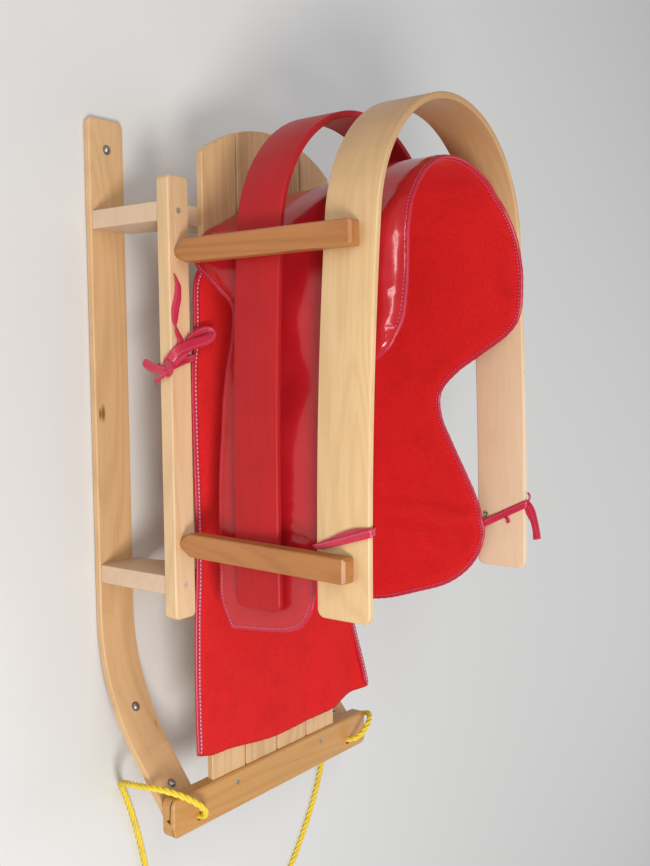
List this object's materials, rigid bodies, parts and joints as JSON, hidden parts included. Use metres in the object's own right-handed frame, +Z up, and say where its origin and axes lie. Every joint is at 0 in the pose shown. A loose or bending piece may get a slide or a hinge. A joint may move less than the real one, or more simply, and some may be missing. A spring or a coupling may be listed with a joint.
{
  "type": "children's wooden pull sled",
  "caption": "Wooden pull sled for a small child: bentwood runners, slatted deck, bentwood hoops on posts, padded red seat and a twisted tow rope.",
  "frame": {"origin": "on the floor, under the middle of the sled's length and width, the rope left out", "axes": "+X to the front of the sled, +Y to its left, +Z up"},
  "size_m": [1.1622, 0.4662, 0.424],
  "materials": {
    "bentwood": "clear satin varnish",
    "board": "clear satin varnish",
    "dark_wood": "clear satin varnish over darker wood",
    "painted_wood": "red gloss paint",
    "felt": "brushed felt with a stitched binding",
    "vinyl": "glossy vinyl outside, felt inside",
    "steel": "zinc-plated",
    "rope": "twisted polypropylene"
  },
  "bodies": {
    "root": {"runner_right": "bentwood", "runner_left": "bentwood", "runner_strip_right": "steel", "runner_strip_left": "steel", "bolster_rear": "board", "bolster_front": "board", "side_rail_right": "board", "side_rail_left": "board", "slat_1": "board", "slat_2": "board", "slat_3": "board", "slat_4": "board", "front_bar": "dark_wood", "post_rear_right": "dark_wood", "post_rear_left": "dark_wood", "post_front_right": "dark_wood", "post_front_left": "dark_wood", "hoop_upper": "bentwood", "hoop_lower": "painted_wood", "seat_pad": "felt", "seat_wall": "vinyl", "tow_rope": "rope", "rope_knot_right": "rope", "rope_knot_left": "rope"}
  },
  "joints": []
}
